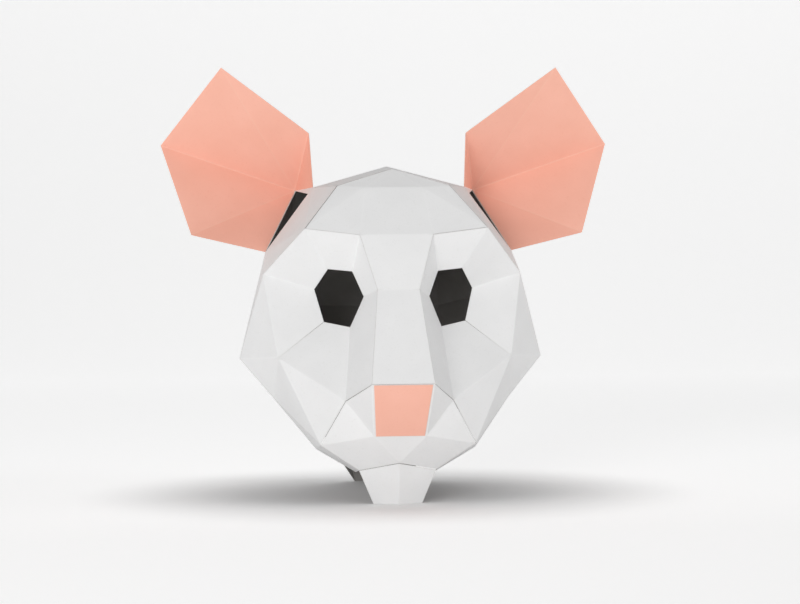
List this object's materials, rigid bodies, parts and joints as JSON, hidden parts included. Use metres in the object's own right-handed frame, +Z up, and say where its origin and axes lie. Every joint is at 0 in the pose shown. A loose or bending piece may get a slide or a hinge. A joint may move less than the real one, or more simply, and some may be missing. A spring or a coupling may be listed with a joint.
{
  "type": "folded-card animal mask",
  "caption": "Low-poly mouse mask of folded white card with upright pink ears, a pink nose panel, open eye holes and a hollow head.",
  "frame": {"origin": "on the level the mask stands on (chin and nape edge), under the middle of its box", "axes": "+Z up, -Y out of the face, +X to the wearer's left"},
  "size_m": [0.3602, 0.2844, 0.3359],
  "materials": {
    "white_card": "matte",
    "pink_card": "matte"
  },
  "bodies": {
    "root": {"face_centre": "white_card", "left_face": "white_card", "right_face": "white_card", "muzzle": "white_card", "chin": "white_card", "left_jaw_strip": "white_card", "right_jaw_strip": "white_card", "left_side": "white_card", "right_side": "white_card", "crown_back": "white_card", "back": "white_card", "nose_panel": "pink_card", "left_ear": "pink_card", "right_ear": "pink_card", "left_back": "white_card", "right_back": "white_card"}
  },
  "joints": []
}
